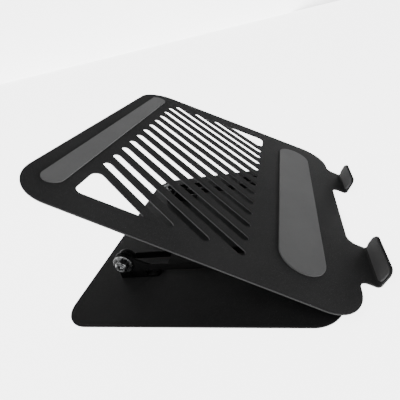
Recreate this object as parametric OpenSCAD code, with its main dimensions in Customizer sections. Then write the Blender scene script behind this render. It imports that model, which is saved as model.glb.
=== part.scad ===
// Laptop stand: a slotted steel tray on two pressed arms above a flat base plate.
// Millimetres. +Z is up, +X is the user's right and -Y points towards the user.
// The origin is under the middle of the stand, on the surface that it stands on.

/* [Plates] */
// Width of the base plate
base_w = 254; // [220:1:300]
// Depth of the base plate, front to back
base_d = 220; // [190:1:260]
// Corner radius of the base plate
base_r = 23; // [10:1:40]
// Width of the tray
tray_w = 264; // [220:1:300]
// Length of the tray along its slope
tray_l = 243; // [200:1:280]
// Corner radius of the tray
tray_r = 31; // [10:1:40]
// Thickness of the sheet steel in both plates
plate_t = 1.5; // [1:0.1:3]
// Slope of the tray, in degrees
tilt = 31.1; // [20:0.1:34]

/* [Feet] */
// Diameter of a rubber foot
foot_dia = 18; // [10:1:30]
// Height of a rubber foot
foot_h = 3; // [2:0.5:6]
// Distance from a foot's centre to the edges of the base plate
foot_inset = 22; // [15:1:40]

/* [Hinges] */
// Distance of both pivots from the plates that their brackets stand on
pivot_h = 18.7; // [14:0.1:24]
// Distance from the lower pivots to the base plate's back edge
lower_pivot_inset = 41.5; // [30:0.5:60]
// Distance from the upper pivots to the tray's front edge, along the slope
upper_pivot_v = 60; // [40:1:90]
// Distance between the lower and the upper pivot
arm_len = 128.5; // [90:0.5:150]
// Distance from the middle of the stand to the middle of an arm
arm_x = 67.65; // [40:0.5:90]
// Outside width of an arm's channel
arm_w = 19; // [16:0.5:30]
// Thickness of the sheet steel in an arm
arm_t = 1.6; // [1:0.1:3]
// Radius of the round ends of arms and brackets
ear_r = 9.6; // [7:0.1:12]
// Thickness of the sheet steel in a bracket
bracket_t = 2.4; // [1.5:0.1:3]
// Radius of a hinge bolt
bolt_r = 3; // [2:0.5:4]

/* [Slots] */
// Number of slanted slots
slot_count = 14; // [6:1:18]
// Width of a slot
slot_w = 6.5; // [4:0.1:9]
// Distance from one slot's centre line to the next
slot_pitch = 13.84; // [10:0.01:20]
// Angle of the slots from front-to-back, in degrees
slot_angle = 32.5; // [0:0.5:45]
// Radii of a corner triangle: its square corner, the corner beside it across the tray, and its tip
triangle_radii = [7, 5, 1]; // [1:0.5:12]

/* [Pads and hooks] */
// Thickness of the pads on the tray
pad_t = 1.2; // [0.8:0.1:3]
// Width of a hook
hook_w = 44; // [25:1:60]
// Distance from the middle of the tray to the middle of a hook
hook_x = 69; // [40:1:90]
// Distance from the tray's front edge to a hook's inner face
hook_reach = 15.5; // [8:0.5:20]
// Height of a hook above the tray
hook_h = 16.3; // [8:0.1:25]
// Radius of the fillets where a hook leaves the tray
hook_fillet = 8; // [3:0.5:12]
// Thickness of a hook's rubber pad
hook_pad_t = 1.3; // [0.8:0.1:3]

/* [Hidden] */
$fn = 72;
gap = 0.05;
through = 20;
steel_black = [0.13, 0.13, 0.14];
rubber_black = [0.08, 0.08, 0.08];
pad_grey = [0.36, 0.36, 0.37];
hook_grey = [0.22, 0.22, 0.23];
zinc = [0.72, 0.72, 0.72];
nylon = [0.16, 0.16, 0.17];

// places of the pivots: Y from the base plate's front edge, Z from its top face
lower_pivot_y = base_d - lower_pivot_inset;
upper_pivot_y = lower_pivot_y - arm_len;
pivot_to_top = pivot_h + plate_t;

// the stand's front is the top of the hooks' outer faces
tray_front_y = upper_pivot_y - upper_pivot_v * cos(tilt) - pivot_to_top * sin(tilt);
hook_tip_v = hook_reach + plate_t;
stand_front_y = tray_front_y - hook_tip_v * cos(tilt) - hook_h * sin(tilt);
stand_mid_y = (stand_front_y + base_d) / 2;
base_top_z = foot_h + plate_t;

// arm section, measured from the line of the pivots
arm_top = -2.9;
arm_bottom = -9.3;
web_start = 41;
shoulder_s = 25;
rail_start = 1;

// parts along a hinge's axis, measured from the middle of the arm
friction_washer_t = 0.8;
flange_in = arm_w / 2 - arm_t;
friction_in = flange_in - friction_washer_t;
bracket_out = friction_in - 2 * gap;
bracket_in = bracket_out - bracket_t;
cap_out = bracket_in - 2 * gap - friction_washer_t;
cap_t = 5;
cap_r = 8.4;
cap_edge = 0.6;
washer_t = 1.4;
washer_r = 9;
nut_start = arm_w / 2 + washer_t;
nut_hex_h = 3.8;
nut_collar_h = 1.2;
nut_af = 10;
nut_collar_r = 4.4;
thread_short = 1.4;
socket_r = 2.3;
socket_h = 2;
bolt_start = cap_out - cap_t + socket_h;

// brackets, measured from the pivot along the plate
bracket_foot_front = 28;
bracket_foot_back = 10;
bracket_foot_in = -6.5;
ear_foot_front = 17;
rivet_s = [15, 23.5];
rivet_r = 1.6;
rivet_head_r = 3.2;
rivet_head_h = 1.5;
rivet_tail_h = 0.8;

// the window in the tray that the slots fill, in tray coordinates
win_w = 224;
win_left = -win_w / 2;
win_right = win_w / 2;
win_front = 83.6;
win_back = 205.8;
slot_row_v = 121.3;
slot_row_offset = -11.3;

// pads, in tray coordinates
front_pad_v = 43.5;
front_pad_d = 36;
front_pad_w = 217;
rear_pad_v = 222.5;
rear_pad_d = 16;
rear_pad_w = 228;
hook_pad_edge = 1;
bend_r = 1.5;
hook_corner_r = 5.5;

// ---------- frames ----------

// Y from the base plate's front edge and Z from its top face, to the part's own origin
module base_frame() {
    translate([0, -stand_mid_y, base_top_z]) children();
}

// X across, Y up the slope from the tray's front edge and Z from its top face
module tray_frame() {
    base_frame() translate([0, upper_pivot_y, pivot_h]) rotate([tilt, 0, 0])
        translate([0, -upper_pivot_v, pivot_to_top]) children();
}

// side -1 is the left arm and +1 the right arm. The arms are the same part, not mirrored,
// so both have their nuts on the left; children are drawn with the nuts towards +X.
module on_side(side) {
    translate([side * arm_x, 0, 0]) mirror([1, 0, 0]) children();
}

module at_lower_pivot(side) {
    base_frame() on_side(side) translate([0, lower_pivot_y, pivot_h]) children();
}

module at_upper_pivot(side) {
    base_frame() on_side(side) translate([0, upper_pivot_y, pivot_h]) children();
}

module at_tray_pivot(side) {
    tray_frame() on_side(side) translate([0, upper_pivot_v, -pivot_to_top]) children();
}

// ---------- shapes ----------

// a rectangle with round corners, from x0, y0 to x1, y1
module round_rect(x0, y0, x1, y1, r) {
    translate([x0 + r, y0]) square([x1 - x0 - 2 * r, y1 - y0]);
    translate([x0, y0 + r]) square([x1 - x0, y1 - y0 - 2 * r]);
    for (x = [x0 + r, x1 - r], y = [y0 + r, y1 - r])
        translate([x, y]) circle(r);
}

// a stadium of length w and width d about the origin
module stadium(w, d) {
    square([w - d, d], center = true);
    for (side = [-1, 1])
        translate([side * (w - d) / 2, 0]) circle(d / 2);
}

// a disc or ring on the hinge axis, from x0 to x1
module ring(r, bore, x0, x1) {
    translate([x0, 0, 0]) rotate([0, 90, 0]) linear_extrude(x1 - x0) difference() {
        circle(r);
        if (bore > 0) circle(bore);
    }
}

// points on a circle of radius r about the origin, from angle a0 to a1
function arc(r, a0, a1, steps = 36) =
    [for (i = [0:steps]) let (a = a0 + (a1 - a0) * i / steps) r * [cos(a), sin(a)]];

// angle at which a line from point p, left of the origin, touches the top of a circle of radius r
function tangent_angle(p, r) = (atan2(p.y, p.x) + 360) % 360 - acos(r / norm(p));

// turns an outline in Y and Z into a sheet from x0 to x1
module side_sheet(x0, x1) {
    translate([x0, 0, 0]) rotate([90, 0, 90]) linear_extrude(x1 - x0) children();
}

// ---------- base ----------

module base_plate() color(steel_black) base_frame() difference() {
    translate([0, 0, -plate_t]) linear_extrude(plate_t)
        round_rect(-base_w / 2, 0, base_w / 2, base_d, base_r);
    for (side = [-1, 1], s = rivet_s)
        translate([side * arm_x, lower_pivot_y - s, -through / 2]) cylinder(r = rivet_r + gap, h = through);
}

module foot(side, row) color(rubber_black) base_frame()
    translate([side * (base_w / 2 - foot_inset), row, -base_top_z])
        rotate_extrude() {
            square([foot_dia / 2 - foot_h / 3, foot_h]);
            translate([0, foot_h / 3]) square([foot_dia / 2, foot_h * 2 / 3]);
            translate([foot_dia / 2 - foot_h / 3, foot_h / 3]) intersection() {
                circle(foot_h / 3);
                translate([0, -foot_h / 3]) square(foot_h / 3);
            }
        }

// side outline of a bracket's ear, with the pivot at the origin and the plate below
module ear_outline() {
    toe = [-ear_foot_front, 2 * bracket_t - pivot_h];
    polygon(concat(arc(ear_r, 0, tangent_angle(toe, ear_r)),
        [toe, [-ear_foot_front, -pivot_h], [ear_r, -pivot_h]]));
}

// an angle bracket: one ear on a riveted foot that reaches towards -Y
module bracket() {
    difference() {
        union() {
            side_sheet(bracket_in, bracket_out) ear_outline();
            translate([0, 0, -pivot_h]) linear_extrude(bracket_t)
                round_rect(bracket_foot_in, -bracket_foot_front, bracket_out, bracket_foot_back, 3);
        }
        ring(bolt_r + gap, 0, -through, through);
        for (s = rivet_s)
            translate([0, -s, -pivot_h - bracket_t]) cylinder(r = rivet_r + gap, h = through / 2);
    }
}

// a row of rivets with round heads on the bracket and flat tails under the plate
module rivets(tail_h) {
    for (s = rivet_s)
        translate([0, -s, -pivot_h]) {
            translate([0, 0, bracket_t]) rotate_extrude() intersection() {
                scale([1, rivet_head_h / rivet_head_r]) circle(rivet_head_r);
                square(rivet_head_r);
            }
            translate([0, 0, -plate_t]) cylinder(r = rivet_r, h = plate_t + bracket_t);
            if (tail_h > 0)
                translate([0, 0, -plate_t - tail_h]) cylinder(r = rivet_head_r, h = tail_h);
        }
}

module base_bracket(side) color(steel_black) at_lower_pivot(side) bracket();

module base_rivets(side) color(steel_black) at_lower_pivot(side) rivets(rivet_tail_h);

// ---------- arms ----------

// one end of an arm's side outline, from its bottom edge around the pivot to its shoulder
function arm_end() = let (shoulder = [-shoulder_s, arm_top])
    concat(arc(ear_r, asin(arm_bottom / ear_r), tangent_angle(shoulder, ear_r)), [shoulder]);

// side outline of an arm: the lower pivot is at the origin and the front is towards -Y
module arm_outline() {
    end = arm_end();
    polygon(concat(end, [for (i = [len(end) - 1:-1:0]) [-arm_len - end[i].x, end[i].y]]));
}

// the plain flange of an arm, which has round ends and no ears
module rail_outline() {
    half = (arm_top - arm_bottom) / 2;
    translate([0, arm_bottom + half]) {
        translate([rail_start + half - arm_len, -half])
            square([arm_len - 2 * rail_start - 2 * half, 2 * half]);
        for (y = [-rail_start - half, rail_start + half - arm_len])
            translate([y, 0]) circle(half);
    }
}

// two flanges joined by a web between their forked ends; one flange has the ears
module arm(side) color(steel_black) at_lower_pivot(side) difference() {
    union() {
        side_sheet(arm_w / 2 - arm_t, arm_w / 2) arm_outline();
        side_sheet(-arm_w / 2, arm_t - arm_w / 2) rail_outline();
        translate([-arm_w / 2, web_start - arm_len, arm_top - arm_t])
            cube([arm_w, arm_len - 2 * web_start, arm_t]);
    }
    for (y = [0, -arm_len])
        translate([0, y, 0]) ring(bolt_r + gap, 0, -through, through);
}

// ---------- hinge hardware, about a pivot ----------

// a screw whose round head is a separate black cap
module bolt() color(zinc) ring(bolt_r, 0, bolt_start, nut_start + nut_hex_h + nut_collar_h - thread_short);

module cap() color(steel_black) difference() {
    union() {
        ring(cap_r, 0, cap_out - cap_t + cap_edge, cap_out);
        ring(cap_r - cap_edge, 0, cap_out - cap_t, cap_out);
    }
    ring(bolt_r + gap, 0, bolt_start - gap, through);
    translate([-through, 0, 0]) rotate([0, 90, 0]) cylinder(r = socket_r, h = through + bolt_start, $fn = 6);
}

module flat_washer() color(zinc) ring(washer_r, bolt_r + 4 * gap, arm_w / 2, nut_start);

module friction_washers() color(nylon)
    for (x = [friction_in, cap_out])
        ring(cap_r, bolt_r + 4 * gap, x, x + friction_washer_t);

module lock_nut() color(zinc) difference() {
    union() {
        translate([nut_start, 0, 0]) rotate([0, 90, 0])
            cylinder(r = nut_af / 2 / cos(30), h = nut_hex_h, $fn = 6);
        ring(nut_collar_r, 0, nut_start + nut_hex_h, nut_start + nut_hex_h + nut_collar_h);
    }
    ring(bolt_r + gap, 0, -through, 2 * through);
}

// ---------- tray ----------

// slot centre lines: offset k is the distance from the row's middle, across the slots
function slot_offset(k) = slot_row_offset + (k - (slot_count - 1) / 2) * slot_pitch;
// how far slot k's end circle can run before it touches the window's edges
function slot_back(o, r) = min((win_back - r - slot_row_v + o * sin(slot_angle)) / cos(slot_angle),
    (win_right - r - o * cos(slot_angle)) / sin(slot_angle));
function slot_front(o, r) = max((win_front + r - slot_row_v + o * sin(slot_angle)) / cos(slot_angle),
    (win_left + r - o * cos(slot_angle)) / sin(slot_angle));

module slots() {
    for (k = [0:slot_count - 1]) {
        o = slot_offset(k);
        back = slot_back(o, slot_w / 2);
        front = slot_front(o, slot_w / 2);
        translate([0, slot_row_v]) rotate(90 - slot_angle) translate([(front + back) / 2, -o])
            stadium(back - front + slot_w, slot_w);
    }
}

// a triangle's corner: how far along its sides a round corner of radius r starts
function corner_run(angle, r) = r / tan(angle / 2);

// a right-angled triangle with round corners, its square corner at the origin.
// a runs along X and b along Y, and r holds the radii at the origin, at a and at b.
module round_triangle(a, b, r) {
    angle_a = atan(b / a);
    run_a = corner_run(angle_a, r[1]);
    run_b = corner_run(90 - angle_a, r[2]);
    slope = [-cos(angle_a), sin(angle_a)];
    polygon([[r[0], 0], [a - run_a, 0], [a, 0] + run_a * slope,
        [0, b] - run_b * slope, [0, b - run_b], [0, r[0]]]);
    translate([r[0], r[0]]) circle(r[0]);
    translate([a - run_a, r[1]]) circle(r[1]);
    translate([r[2], b - run_b]) circle(r[2]);
}

// length of a corner triangle's side along X, from the distance of its slanted edge to the corner
function triangle_a(reach) = reach / cos(slot_angle);
function triangle_b(reach) = reach / sin(slot_angle);
// distance across the slots from the row's middle to a point of the window
function across(u, v) = u * cos(slot_angle) - (v - slot_row_v) * sin(slot_angle);

module triangles() {
    left_reach = slot_offset(-1) + slot_w / 2 - across(win_left, win_back);
    right_reach = across(win_right, win_front) - slot_offset(slot_count) + slot_w / 2;
    translate([win_left, win_back]) mirror([0, 1])
        round_triangle(triangle_a(left_reach), triangle_b(left_reach), triangle_radii);
    translate([win_right, win_front]) mirror([1, 0])
        round_triangle(triangle_a(right_reach), triangle_b(right_reach), triangle_radii);
}

// the flat tab of a hook and the fillets beside it
module hook_root() {
    translate([-hook_w / 2, bend_r - hook_reach]) square([hook_w, hook_reach - bend_r + 1]);
    for (side = [-1, 1])
        difference() {
            translate([side * (hook_w + hook_fillet) / 2, -hook_fillet / 2])
                square([hook_fillet, hook_fillet], center = true);
            translate([side * (hook_w / 2 + hook_fillet), -hook_fillet]) circle(hook_fillet);
        }
}

// the bend and the upright of a hook, with the tray's top face at Z 0
module hook_upright() {
    side_sheet(-hook_w / 2, hook_w / 2) translate([bend_r - hook_reach, bend_r]) intersection() {
        difference() {
            circle(bend_r + plate_t);
            circle(bend_r);
        }
        translate([-bend_r - plate_t, -bend_r - plate_t]) square(bend_r + plate_t);
    }
    translate([0, -hook_reach, 0]) rotate([90, 0, 0]) linear_extrude(plate_t) {
        translate([-hook_w / 2, bend_r]) square([hook_w, hook_h - bend_r - hook_corner_r]);
        translate([-hook_w / 2 + hook_corner_r, bend_r])
            square([hook_w - 2 * hook_corner_r, hook_h - bend_r]);
        for (side = [-1, 1])
            translate([side * (hook_w / 2 - hook_corner_r), hook_h - hook_corner_r]) circle(hook_corner_r);
    }
}

module tray_plate() color(steel_black) tray_frame() {
    difference() {
        translate([0, 0, -plate_t]) linear_extrude(plate_t) difference() {
            union() {
                round_rect(-tray_w / 2, 0, tray_w / 2, tray_l, tray_r);
                for (side = [-1, 1])
                    translate([side * hook_x, 0]) hook_root();
            }
            slots();
            triangles();
        }
        for (side = [-1, 1], s = rivet_s)
            translate([side * arm_x, upper_pivot_v - s, -through / 2])
                cylinder(r = rivet_r + gap, h = through);
    }
    for (side = [-1, 1])
        translate([side * hook_x, 0, 0]) hook_upright();
}

module tray_bracket(side) color(steel_black) at_tray_pivot(side) mirror([0, 0, 1]) bracket();

module tray_rivets(side) color(steel_black) at_tray_pivot(side) mirror([0, 0, 1]) rivets(0);

module front_pad() color(pad_grey) tray_frame()
    translate([0, front_pad_v, 0]) linear_extrude(pad_t) stadium(front_pad_w, front_pad_d);

module rear_pad() color(pad_grey) tray_frame()
    translate([0, rear_pad_v, 0]) linear_extrude(pad_t) stadium(rear_pad_w, rear_pad_d);

module hook_pad(side) color(hook_grey) tray_frame()
    translate([side * hook_x, hook_pad_t - hook_reach, 0]) rotate([90, 0, 0]) linear_extrude(hook_pad_t)
        round_rect(hook_pad_edge - hook_w / 2, bend_r + hook_pad_edge / 2, hook_w / 2 - hook_pad_edge,
            hook_h - hook_pad_edge, hook_corner_r - hook_pad_edge);

// ---------- assembly ----------

// which sub-part to draw

base_plate();
foot(-1, foot_inset);  // foot_front_left
foot(1, foot_inset);  // foot_front_right
foot(-1, base_d - foot_inset);  // foot_rear_left
foot(1, base_d - foot_inset);  // foot_rear_right
base_bracket(-1);  // base_bracket_left
base_bracket(1);  // base_bracket_right
base_rivets(-1);  // base_rivets_left
base_rivets(1);  // base_rivets_right
arm(-1);  // arm_left
arm(1);  // arm_right
at_lower_pivot(-1) bolt();  // lower_bolt_left
at_lower_pivot(1) bolt();  // lower_bolt_right
at_lower_pivot(-1) flat_washer();  // lower_washer_left
at_lower_pivot(1) flat_washer();  // lower_washer_right
at_lower_pivot(-1) friction_washers();  // lower_friction_washers_left
at_lower_pivot(1) friction_washers();  // lower_friction_washers_right
at_lower_pivot(-1) lock_nut();  // lower_nut_left
at_lower_pivot(1) lock_nut();  // lower_nut_right
at_lower_pivot(-1) cap();  // lower_cap_left
at_lower_pivot(1) cap();  // lower_cap_right
at_upper_pivot(-1) bolt();  // upper_bolt_left
at_upper_pivot(1) bolt();  // upper_bolt_right
at_upper_pivot(-1) flat_washer();  // upper_washer_left
at_upper_pivot(1) flat_washer();  // upper_washer_right
at_upper_pivot(-1) friction_washers();  // upper_friction_washers_left
at_upper_pivot(1) friction_washers();  // upper_friction_washers_right
at_upper_pivot(-1) lock_nut();  // upper_nut_left
at_upper_pivot(1) lock_nut();  // upper_nut_right
at_upper_pivot(-1) cap();  // upper_cap_left
at_upper_pivot(1) cap();  // upper_cap_right
tray_bracket(-1);  // tray_bracket_left
tray_bracket(1);  // tray_bracket_right
tray_rivets(-1);  // tray_rivets_left
tray_rivets(1);  // tray_rivets_right
tray_plate();
front_pad();
rear_pad();
hook_pad(-1);  // hook_pad_left
hook_pad(1);  // hook_pad_right
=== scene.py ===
"""A laptop stand in matt black powder-coated steel, looked at from its left front corner."""
import math
import bpy
from mathutils import Matrix, Vector


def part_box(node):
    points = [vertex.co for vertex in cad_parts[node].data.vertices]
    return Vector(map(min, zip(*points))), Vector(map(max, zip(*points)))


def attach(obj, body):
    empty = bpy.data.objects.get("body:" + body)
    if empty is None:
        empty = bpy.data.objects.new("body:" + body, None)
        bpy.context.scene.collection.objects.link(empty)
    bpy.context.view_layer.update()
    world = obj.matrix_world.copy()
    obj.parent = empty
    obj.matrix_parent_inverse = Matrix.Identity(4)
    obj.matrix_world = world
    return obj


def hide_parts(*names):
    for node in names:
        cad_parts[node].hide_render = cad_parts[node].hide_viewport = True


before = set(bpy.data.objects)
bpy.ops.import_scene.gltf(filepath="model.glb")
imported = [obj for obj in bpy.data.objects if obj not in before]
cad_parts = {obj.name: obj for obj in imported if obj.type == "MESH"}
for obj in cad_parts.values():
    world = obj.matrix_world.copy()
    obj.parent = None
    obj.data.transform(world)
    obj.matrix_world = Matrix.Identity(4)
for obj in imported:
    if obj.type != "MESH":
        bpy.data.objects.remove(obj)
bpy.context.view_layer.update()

MM = 0.001
SIDES = ("left", "right")
HINGES = ("lower", "upper")


# ---------- camera ----------

CAMERA_PLACE = Vector((-274.5, -72.3, 187.6)) * MM
CAMERA_YAW = math.radians(16.64)
CAMERA_PITCH = math.radians(25.36)
CAMERA_ROLL = math.radians(13.85)
CAMERA_LENS = 28.76
CAMERA_SENSOR = 36
CAMERA_NEAR = 0.01
CAMERA_SHIFT = -0.0375


def make_camera():
    """The camera looks along +X, turned by yaw, tipped down by pitch and rolled about its own axis."""
    data = bpy.data.cameras.new("camera")
    data.sensor_width = CAMERA_SENSOR
    data.lens = CAMERA_LENS
    data.shift_x = CAMERA_SHIFT
    data.shift_y = CAMERA_SHIFT
    data.clip_start = CAMERA_NEAR
    data.dof.use_dof = False
    obj = bpy.data.objects.new("camera", data)
    bpy.context.scene.collection.objects.link(obj)
    level = math.cos(CAMERA_PITCH)
    forward = Vector((level * math.cos(CAMERA_YAW), level * math.sin(CAMERA_YAW), -math.sin(CAMERA_PITCH)))
    right = Vector((math.sin(CAMERA_YAW), -math.cos(CAMERA_YAW), 0))
    right.rotate(Matrix.Rotation(CAMERA_ROLL, 3, forward))
    up = right.cross(forward)
    turn = Matrix((right, up, -forward)).transposed()
    obj.matrix_world = Matrix.Translation(CAMERA_PLACE) @ turn.to_4x4()
    bpy.context.scene.camera = obj


make_camera()


# ---------- node helpers ----------

# A colour mix node has sockets for other kinds of value too, under the same names, so these go by number.
MIX_A = 6
MIX_B = 7
MIX_RESULT = 2
BEVEL_SAMPLES = 4
FLAT_COSINE = 0.99
SHARP_COSINE = 0.8


def scaled(colour, gain):
    return tuple(gain * c for c in colour)


class Shader:
    """A material and a short way to add and join its nodes."""

    def __init__(self, name):
        self.material = bpy.data.materials.new(name)
        self.material.use_nodes = True
        self.tree = self.material.node_tree
        self.surface = self.tree.nodes["Principled BSDF"]
        self.place = self.node("ShaderNodeTexCoord").outputs["Object"]

    def node(self, kind, **settings):
        made = self.tree.nodes.new(kind)
        for key, value in settings.items():
            setattr(made, key, value)
        return made

    def join(self, source, socket):
        self.tree.links.new(source, socket)

    def noise(self, scale, detail=4, roughness=0.55, stretch=None):
        made = self.node("ShaderNodeTexNoise")
        made.inputs["Scale"].default_value = scale
        made.inputs["Detail"].default_value = detail
        made.inputs["Roughness"].default_value = roughness
        self.join(self.stretched(stretch) if stretch else self.place, made.inputs["Vector"])
        return made.outputs["Fac"]

    def cells(self, scale):
        made = self.node("ShaderNodeTexVoronoi")
        made.inputs["Scale"].default_value = scale
        self.join(self.place, made.inputs["Vector"])
        return made.outputs["Distance"]

    def stretched(self, scale):
        made = self.node("ShaderNodeMapping")
        made.inputs["Scale"].default_value = scale
        self.join(self.place, made.inputs["Vector"])
        return made.outputs["Vector"]

    def spread(self, source, low, high, to_low=0.0, to_high=1.0):
        """source, from low to high, spread over to_low to to_high."""
        made = self.node("ShaderNodeMapRange")
        for name, value in (("From Min", low), ("From Max", high), ("To Min", to_low), ("To Max", to_high)):
            made.inputs[name].default_value = value
        self.join(source, made.inputs["Value"])
        return made.outputs["Result"]

    def sum(self, a, b):
        return self.worked_out("ADD", a, b)

    def product(self, a, b):
        return self.worked_out("MULTIPLY", a, b)

    def worked_out(self, operation, a, b):
        made = self.node("ShaderNodeMath", operation=operation)
        for value, socket in ((a, made.inputs[0]), (b, made.inputs[1])):
            if isinstance(value, (int, float)):
                socket.default_value = value
            else:
                self.join(value, socket)
        return made.outputs["Value"]

    def mix(self, factor, a, b):
        made = self.node("ShaderNodeMix", data_type="RGBA")
        self.join(factor, made.inputs["Factor"])
        for value, socket in ((a, made.inputs[MIX_A]), (b, made.inputs[MIX_B])):
            if isinstance(value, tuple):
                socket.default_value = (*value, 1)
            else:
                self.join(value, socket)
        return made.outputs[MIX_RESULT]

    def edges(self, radius):
        """1 along sharp edges, fading to 0 within radius of them."""
        rounded = self.node("ShaderNodeBevel", samples=BEVEL_SAMPLES)
        rounded.inputs["Radius"].default_value = radius
        flat = self.node("ShaderNodeNewGeometry")
        product = self.node("ShaderNodeVectorMath", operation="DOT_PRODUCT")
        self.join(rounded.outputs["Normal"], product.inputs[0])
        self.join(flat.outputs["True Normal"], product.inputs[1])
        return self.spread(product.outputs["Value"], FLAT_COSINE, SHARP_COSINE)

    def bump(self, height, strength, distance):
        made = self.node("ShaderNodeBump")
        made.inputs["Strength"].default_value = strength
        made.inputs["Distance"].default_value = distance
        self.join(height, made.inputs["Height"])
        self.join(made.outputs["Normal"], self.surface.inputs["Normal"])

    def colour(self, source):
        self.join(source, self.surface.inputs["Base Color"])

    def rough(self, source):
        self.join(source, self.surface.inputs["Roughness"])

    def fixed(self, **values):
        for name, value in values.items():
            self.surface.inputs[name.replace("_", " ")].default_value = value


# ---------- materials ----------

SPECKLE_GAIN = 2.1
# Painted shade along the coat's sharp edges: how dark, how far in from the edge and how strongly.
EDGE_SHADE_GAIN = 0.15
EDGE_SHADE_REACH = 0.8 * MM
EDGE_SHADE_STRENGTH = 0.8
DUST_GAIN = 1.6
COAT_RELIEF = 0.06 * MM
RUBBER_RELIEF = 0.07 * MM
FINE_RELIEF = 0.05 * MM


def powder_coat(name, dark, pale, specular):
    """Matt black powder coat: a fine pebbled skin, cloudy at arm's length, with painted shade darkening its
    edges.
    """
    s = Shader(name)
    cloud = s.spread(s.noise(scale=14, detail=3), low=0.35, high=0.65)
    grain = s.noise(scale=1500, detail=3, roughness=0.6)
    pebble = s.cells(scale=900)
    speckle = s.spread(s.noise(scale=2600, detail=1), low=0.63, high=0.72)
    speckled = s.mix(speckle, s.mix(cloud, dark, pale), scaled(pale, SPECKLE_GAIN))
    # Painted shade: the colour darkens along sharp edges, in place of their unlit look.
    edge = s.product(s.edges(EDGE_SHADE_REACH), EDGE_SHADE_STRENGTH)
    s.colour(s.mix(edge, speckled, scaled(dark, EDGE_SHADE_GAIN)))
    grain_rough = s.spread(grain, low=0.3, high=0.7, to_low=0.47, to_high=0.6)
    cloud_rough = s.spread(cloud, low=0, high=1, to_low=-0.02, to_high=0.04)
    s.rough(s.sum(grain_rough, cloud_rough))
    s.bump(s.sum(s.product(grain, 0.5), pebble), strength=0.35, distance=COAT_RELIEF)
    s.fixed(Specular_IOR_Level=specular)
    return s.material


def rubber(name, dark, pale, grain_scale=1700):
    """Matt rubber sheet: fine grain, soft mottling and a trace of dust."""
    s = Shader(name)
    cloud = s.spread(s.noise(scale=22, detail=5, roughness=0.6), low=0.3, high=0.7)
    grain = s.cells(grain_scale)
    fine = s.noise(scale=3800, detail=2)
    dust = s.spread(s.noise(scale=700, detail=6, roughness=0.7), low=0.62, high=0.78, to_low=0, to_high=0.35)
    s.colour(s.mix(dust, s.mix(cloud, dark, pale), scaled(pale, DUST_GAIN)))
    s.rough(s.spread(fine, low=0.3, high=0.7, to_low=0.78, to_high=0.93))
    s.bump(s.sum(grain, fine), strength=0.5, distance=RUBBER_RELIEF)
    s.fixed(Specular_IOR_Level=0.3, Sheen_Weight=0.08, Sheen_Roughness=0.6)
    return s.material


def zinc(name, bright, stained):
    """Zinc plate, its colour darkened as painted shade: turned marks, faint stains and small knocks."""
    s = Shader(name)
    turned = s.noise(scale=260, detail=3, roughness=0.6, stretch=(9, 1, 1))
    stain = s.spread(s.noise(scale=420, detail=4), low=0.42, high=0.66)
    knocks = s.cells(scale=1300)
    s.colour(s.mix(stain, bright, stained))
    turned_rough = s.spread(turned, low=0.3, high=0.7, to_low=0.16, to_high=0.3)
    stain_rough = s.spread(stain, low=0, high=1, to_low=0, to_high=0.1)
    s.rough(s.sum(turned_rough, stain_rough))
    s.bump(s.sum(turned, s.product(knocks, 0.3)), strength=0.25, distance=FINE_RELIEF)
    s.fixed(Metallic=1.0)
    return s.material


def nylon(name, dark, pale):
    """Moulded nylon: a faint flow mark and a soft gloss."""
    s = Shader(name)
    flow = s.noise(scale=600, detail=3, roughness=0.5, stretch=(1, 3, 3))
    s.colour(s.mix(s.spread(flow, low=0.35, high=0.65), dark, pale))
    s.rough(s.spread(flow, low=0.3, high=0.7, to_low=0.35, to_high=0.5))
    s.bump(flow, strength=0.2, distance=FINE_RELIEF)
    return s.material


# The tray, base and arms share one black powder coat. The base's copy is painted darker, as painted shade
# under the tray, and the arms' copy much darker still, as painted shade on the arms, brackets and caps.
TRAY_COAT = powder_coat("powder_coat_tray", (0.021, 0.021, 0.0213), (0.027, 0.027, 0.0273), 0.03)
BASE_COAT_SHADED = powder_coat("powder_coat_base_shaded", (0.012, 0.012, 0.0122), (0.0165, 0.0165, 0.0167), 0.04)
ARM_COAT_SHADED = powder_coat("powder_coat_arm_shaded", (0.0025, 0.0025, 0.0026), (0.004, 0.004, 0.0041), 0.03)
RIVET = powder_coat("powder_coat_rivet", (0.005, 0.005, 0.0052), (0.0075, 0.0075, 0.0077), 0.15)
TRAY_PAD = rubber("rubber_grey", (0.066, 0.0665, 0.067), (0.079, 0.0795, 0.08))
HOOK_PAD = rubber("rubber_dark_grey", (0.033, 0.033, 0.0335), (0.043, 0.043, 0.0435))
FOOT = rubber("rubber_black", (0.018, 0.018, 0.018), (0.028, 0.028, 0.028), 1200)
# Painted shade: the zinc's colours are set far darker than bright zinc.
ZINC_SHADED = zinc("zinc_plate_shaded", (0.13, 0.132, 0.135), (0.06, 0.06, 0.058))
WASHER_NYLON = nylon("nylon_dark", (0.022, 0.022, 0.024), (0.035, 0.035, 0.037))
INSERT_NYLON = nylon("nylon_grey", (0.05, 0.052, 0.055), (0.08, 0.082, 0.085))


# ---------- sheet metal, rubber and rivets kept from the frame ----------

WELD_GAP = 0.002 * MM
BEVEL_ANGLE = math.radians(38)
PLAIN_SEGMENTS = 2
PAD_SEGMENTS = 3
PLATE_EDGE = 0.28 * MM
PAD_EDGE = 0.35 * MM
BRACKET_EDGE = 0.3 * MM
SMALL_EDGE = 0.15 * MM
FINE_EDGE = 0.1 * MM


def dress(node, material, edge, segments=PLAIN_SEGMENTS):
    """Gives a CAD node its material and a small round on its sharp edges."""
    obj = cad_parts[node]
    obj.data.materials.clear()
    obj.data.materials.append(material)
    weld = obj.modifiers.new("weld", "WELD")
    weld.merge_threshold = WELD_GAP
    bevel = obj.modifiers.new("edge", "BEVEL")
    bevel.width = edge
    bevel.segments = segments
    bevel.limit_method = "ANGLE"
    bevel.angle_limit = BEVEL_ANGLE
    bevel.use_clamp_overlap = False
    bevel.harden_normals = True


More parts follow.
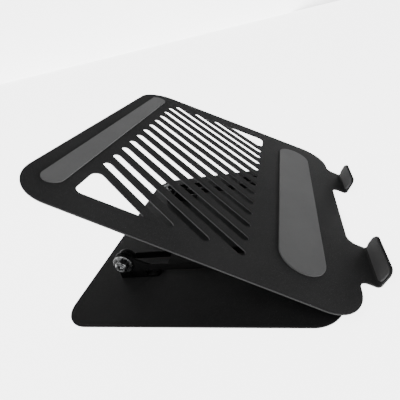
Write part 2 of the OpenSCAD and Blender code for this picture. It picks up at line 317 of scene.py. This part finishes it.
dress("base_plate", BASE_COAT_SHADED, PLATE_EDGE)
dress("tray_plate", TRAY_COAT, PLATE_EDGE)
for node in ("front_pad", "rear_pad"):
    dress(node, TRAY_PAD, PAD_EDGE, PAD_SEGMENTS)
for side in SIDES:
    dress(f"arm_{side}", ARM_COAT_SHADED, BRACKET_EDGE)
    dress(f"hook_pad_{side}", HOOK_PAD, BRACKET_EDGE, PAD_SEGMENTS)
    for plate in ("base", "tray"):
        dress(f"{plate}_bracket_{side}", ARM_COAT_SHADED, BRACKET_EDGE)
        dress(f"{plate}_rivets_{side}", RIVET, FINE_EDGE)
    for row in ("front", "rear"):
        dress(f"foot_{row}_{side}", FOOT, SMALL_EDGE)
    for hinge in HINGES:
        dress(f"{hinge}_friction_washers_{side}", WASHER_NYLON, FINE_EDGE)
        dress(f"{hinge}_cap_{side}", ARM_COAT_SHADED, SMALL_EDGE)


# ---------- hinge hardware in mesh code ----------

def add_mesh(name, rows, material, closed=False):
    """A surface around the X axis from rows of points; closed joins the last row to the first."""
    around = len(rows[0])
    points = [p for row in rows for p in row]
    faces = []
    last = len(rows) if closed else len(rows) - 1
    for i in range(last):
        here, there = i * around, (i + 1) % len(rows) * around
        for j in range(around):
            k = (j + 1) % around
            faces.append((here + j, here + k, there + k, there + j))
    if not closed:
        faces.append(tuple(reversed(range(around))))
        faces.append(tuple(range((len(rows) - 1) * around, len(rows) * around)))
    data = bpy.data.meshes.new(name)
    data.from_pydata(points, [], faces)
    data.validate()
    data.materials.append(material)
    data.shade_smooth()
    obj = bpy.data.objects.new(name, data)
    bpy.context.scene.collection.objects.link(obj)
    return obj


def ring_row(x, radius, steps):
    """One row of points around the X axis; radius is a number or a function of the angle."""
    row = []
    for j in range(steps):
        angle = 2 * math.pi * j / steps
        r = radius(angle) if callable(radius) else radius
        row.append((x, r * math.cos(angle), r * math.sin(angle)))
    return row


def rounded_profile(corners, radius, steps=4):
    """A closed outline of (x, r) corners with each corner rounded by a quarter turn."""
    outline = []
    for i, corner in enumerate(corners):
        before = (Vector(corners[i - 1]) - Vector(corner)).normalized() * radius
        after = (Vector(corners[(i + 1) % len(corners)]) - Vector(corner)).normalized() * radius
        for k in range(steps + 1):
            t = k / steps
            bend = Vector(corner) + before * (1 - t) ** 2 + after * t ** 2
            outline.append(tuple(bend))
    return outline


def place(obj, hinge, side):
    """Moves a piece built about the X axis, its nut end towards +X, to its hinge: nuts point to the left."""
    low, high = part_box(f"{hinge}_washer_{side}")
    turn = Matrix.Rotation(math.pi, 4, "Z")
    spot = Vector((high[0], (low[1] + high[1]) / 2, (low[2] + high[2]) / 2))
    obj.data.transform(Matrix.Translation(spot) @ turn)
    obj.data.update()


def node_span(hinge, side, kind):
    """Start and end of a node along its hinge's axis, from the arm's outer face towards the nut."""
    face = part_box(f"{hinge}_washer_{side}")[1][0]
    low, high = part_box(f"{hinge}_{kind}_{side}")
    return face - high[0], face - low[0]


def node_radius(hinge, side, kind):
    low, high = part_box(f"{hinge}_{kind}_{side}")
    return (high[1] - low[1]) / 2


AROUND = 72
BOLT_R = 3.0 * MM

WASHER_PLAY = 0.2 * MM
WASHER_ROUND = 0.3 * MM

HEX_TURN = math.pi / 3
HEX_HALF_TURN = math.pi / 6
NUT_FLAT = 5.0 * MM
NUT_CORNER = NUT_FLAT / math.cos(HEX_HALF_TURN)
NUT_HEX_LENGTH = 3.8 * MM
NUT_CHAMFER = 0.55 * MM
NUT_CHAMFER_STEPS = 4
NUT_FACE_SHARE = 0.97
NUT_BORE = BOLT_R + 0.05 * MM
COLLAR_R = 4.4 * MM
COLLAR_FILLET_WIDTH = 0.25 * MM
COLLAR_FILLET_HEIGHT = 0.2 * MM
COLLAR_ROUND = 0.6 * MM
COLLAR_ROUND_STEPS = 6
# Steps down from the collar's end into its mouth: (back from the end, in from the collar's radius).
COLLAR_MOUTH = ((0.05 * MM, 0.85 * MM), (0.4 * MM, 0.95 * MM))
COLLAR_MOUTH_DEPTH = 0.5 * MM

INSERT_BACK = 0.38 * MM
INSERT_FRONT = 0.06 * MM
INSERT_GRIP = 0.15 * MM
INSERT_R = 3.42 * MM
INSERT_ROUND = 0.1 * MM

THREAD_PITCH = 1.0 * MM
THREAD_DEPTH = 0.55 * MM
THREAD_LENGTH = 7.5 * MM
THREAD_END = 0.4 * MM
THREAD_ROWS = 72
THREAD_FADE_ROWS = 6
SHANK_CHAMFER = 0.2 * MM
TIP_R = BOLT_R - THREAD_DEPTH - 0.1 * MM
CENTRE_HOLE_R = 1.1 * MM
CENTRE_HOLE_DEPTH = 0.8 * MM
CENTRE_HOLE_FLOOR_R = 0.4 * MM


def hexagon(limit):
    """Radius of the nut's hexagon as a function of the angle, cut off at limit."""
    def radius(angle):
        turn = (angle + HEX_HALF_TURN) % HEX_TURN - HEX_HALF_TURN
        return min(NUT_FLAT / math.cos(turn), limit)
    return radius


def thread(x, depth):
    """Radius at x, as a function of the angle, of a V thread whose ridge climbs one pitch a turn."""
    def radius(angle):
        phase = (x / THREAD_PITCH - angle / (2 * math.pi)) % 1.0
        return BOLT_R - depth * abs(2 * phase - 1)
    return radius


def turned_ring(name, start, end, inner, outer, edge, material):
    """A ring of rectangular section with rounded edges."""
    corners = [(start, inner), (start, outer), (end, outer), (end, inner)]
    rows = [ring_row(x, r, AROUND) for x, r in rounded_profile(corners, edge)]
    return add_mesh(name, rows, material, closed=True)


def flat_washer(hinge, side):
    start, end = node_span(hinge, side, "washer")
    outer = node_radius(hinge, side, "washer")
    return turned_ring(f"{hinge}_washer_{side}_turned", start, end,
                       BOLT_R + WASHER_PLAY, outer, WASHER_ROUND, ZINC_SHADED)


def nut_insert(hinge, side):
    """The nylon ring inside the nut's collar."""
    end = node_span(hinge, side, "nut")[1]
    return turned_ring(f"{hinge}_nut_{side}_insert", end - INSERT_BACK, end - INSERT_FRONT,
                       BOLT_R - INSERT_GRIP, INSERT_R, INSERT_ROUND, INSERT_NYLON)


def hexagon_rows(start, end):
    """The nut's hexagon, with a chamfer that grows to the corners at start and shrinks again at end."""
    rows = [ring_row(start, hexagon(NUT_FLAT * NUT_FACE_SHARE), AROUND)]
    steps = [k / NUT_CHAMFER_STEPS for k in range(NUT_CHAMFER_STEPS + 1)]
    for t in steps:
        limit = NUT_FLAT + (NUT_CORNER - NUT_FLAT) * t
        rows.append(ring_row(start + NUT_CHAMFER * t, hexagon(limit), AROUND))
    for t in steps:
        limit = NUT_CORNER - (NUT_CORNER - NUT_FLAT) * t
        rows.append(ring_row(end - NUT_CHAMFER * (1 - t), hexagon(limit), AROUND))
    return rows


def collar_rows(start, end):
    """The round collar on the nut: a fillet at start, a rounded rim at end, and its mouth."""
    rows = [ring_row(start, COLLAR_R + COLLAR_FILLET_WIDTH, AROUND)]
    rows.append(ring_row(start + COLLAR_FILLET_HEIGHT, COLLAR_R, AROUND))
    for k in range(COLLAR_ROUND_STEPS + 1):
        turn = math.pi / 2 * k / COLLAR_ROUND_STEPS
        x = end - COLLAR_ROUND + COLLAR_ROUND * math.sin(turn)
        rows.append(ring_row(x, COLLAR_R - COLLAR_ROUND + COLLAR_ROUND * math.cos(turn), AROUND))
    for back, inwards in COLLAR_MOUTH:
        rows.append(ring_row(end - back, COLLAR_R - inwards, AROUND))
    return rows


def lock_nut(hinge, side):
    """A hexagon with chamfered corners that closes to a round collar."""
    start, end = node_span(hinge, side, "nut")
    hex_end = start + NUT_HEX_LENGTH
    rows = hexagon_rows(start, hex_end) + collar_rows(hex_end, end)
    rows.append(ring_row(end - COLLAR_MOUTH_DEPTH, NUT_BORE, AROUND))
    rows.append(ring_row(start, NUT_BORE, AROUND))
    return add_mesh(f"{hinge}_nut_{side}_hex", rows, ZINC_SHADED, closed=True)


def bolt(hinge, side):
    """A screw with a plain shank and a thread that ends in a chamfer and a shallow centre hole."""
    start, end = node_span(hinge, side, "bolt")
    thread_start = end - THREAD_LENGTH
    rows = [ring_row(start, BOLT_R - SHANK_CHAMFER, AROUND), ring_row(start + SHANK_CHAMFER, BOLT_R, AROUND)]
    for k in range(THREAD_ROWS + 1):
        x = thread_start + (end - THREAD_END - thread_start) * k / THREAD_ROWS
        rows.append(ring_row(x, thread(x, THREAD_DEPTH * min(1.0, k / THREAD_FADE_ROWS)), AROUND))
    rows.append(ring_row(end, TIP_R, AROUND))
    rows.append(ring_row(end, CENTRE_HOLE_R, AROUND))
    rows.append(ring_row(end - CENTRE_HOLE_DEPTH, CENTRE_HOLE_FLOOR_R, AROUND))
    return add_mesh(f"{hinge}_bolt_{side}_threaded", rows, ZINC_SHADED)


for hinge in HINGES:
    for side in SIDES:
        for make, kind in ((flat_washer, "washer"), (lock_nut, "nut"), (bolt, "bolt")):
            piece = make(hinge, side)
            place(piece, hinge, side)
            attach(piece, "arms")
            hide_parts(f"{hinge}_{kind}_{side}")
        insert = nut_insert(hinge, side)
        place(insert, hinge, side)
        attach(insert, "arms")


# ---------- floor, light and background ----------

FLOOR_GLOW = 4.6
BACKDROP_GLOW = 2.75
WORLD_GLOW = 0.36
FLOOR_HALF = 40.0

# The backdrop's reach ahead, its half width and its heights, as shares of the floor's half width.
BACKDROP_AHEAD = 0.95
BACKDROP_LEFT = 0.8
BACKDROP_LOW = 0.02
BACKDROP_HIGH = 0.36

LIGHT_PLACE = (-0.9, 0.4, 1.3)
LIGHT_AIM = (0, 0, 0.05)
LIGHT_SIZE = 0.7
LIGHT_POWER = 13


def add_stage(name, corners, glow):
    """A flat white sheet that glows evenly, as a lit studio sweep does."""
    data = bpy.data.meshes.new(name)
    data.from_pydata(corners, [], [(0, 1, 2, 3)])
    s = Shader(name)
    mottle = s.spread(s.noise(scale=3, detail=2), low=0.3, high=0.7)
    s.colour(s.mix(mottle, (0.93, 0.93, 0.93), (0.96, 0.96, 0.96)))
    s.fixed(Roughness=0.9, Specular_IOR_Level=0.1, Emission_Color=(1, 1, 1, 1), Emission_Strength=glow)
    data.materials.append(s.material)
    obj = bpy.data.objects.new(name, data)
    bpy.context.scene.collection.objects.link(obj)


def make_floor():
    half = FLOOR_HALF
    corners = [(-half, -half, 0), (half, -half, 0), (half, half, 0), (-half, half, 0)]
    add_stage("floor", corners, FLOOR_GLOW)


def make_backdrop():
    """A sheet that stands near the floor's far edge and rises only where the camera sees above the floor."""
    ahead = Vector((math.cos(CAMERA_YAW), math.sin(CAMERA_YAW), 0)) * FLOOR_HALF * BACKDROP_AHEAD
    left = Vector((-math.sin(CAMERA_YAW), math.cos(CAMERA_YAW), 0)) * FLOOR_HALF * BACKDROP_LEFT
    low = Vector((0, 0, FLOOR_HALF * BACKDROP_LOW))
    high = Vector((0, 0, FLOOR_HALF * BACKDROP_HIGH))
    corners = [ahead + left, ahead - left, ahead - left + low, ahead + left + high]
    add_stage("backdrop", [tuple(v) for v in corners], BACKDROP_GLOW)


def make_light():
    data = bpy.data.lights.new("soft_left", "AREA")
    data.shape = "DISK"
    data.size = LIGHT_SIZE
    data.energy = LIGHT_POWER
    obj = bpy.data.objects.new("soft_left", data)
    obj.location = LIGHT_PLACE
    obj.rotation_euler = (Vector(LIGHT_AIM) - Vector(LIGHT_PLACE)).to_track_quat("-Z", "Y").to_euler()
    bpy.context.scene.collection.objects.link(obj)


def make_world():
    world = bpy.data.worlds.new("studio")
    world.use_nodes = True
    background = world.node_tree.nodes["Background"]
    background.inputs["Color"].default_value = (1, 1, 1, 1)
    background.inputs["Strength"].default_value = WORLD_GLOW
    bpy.context.scene.world = world


make_floor()
make_backdrop()
make_world()
make_light()
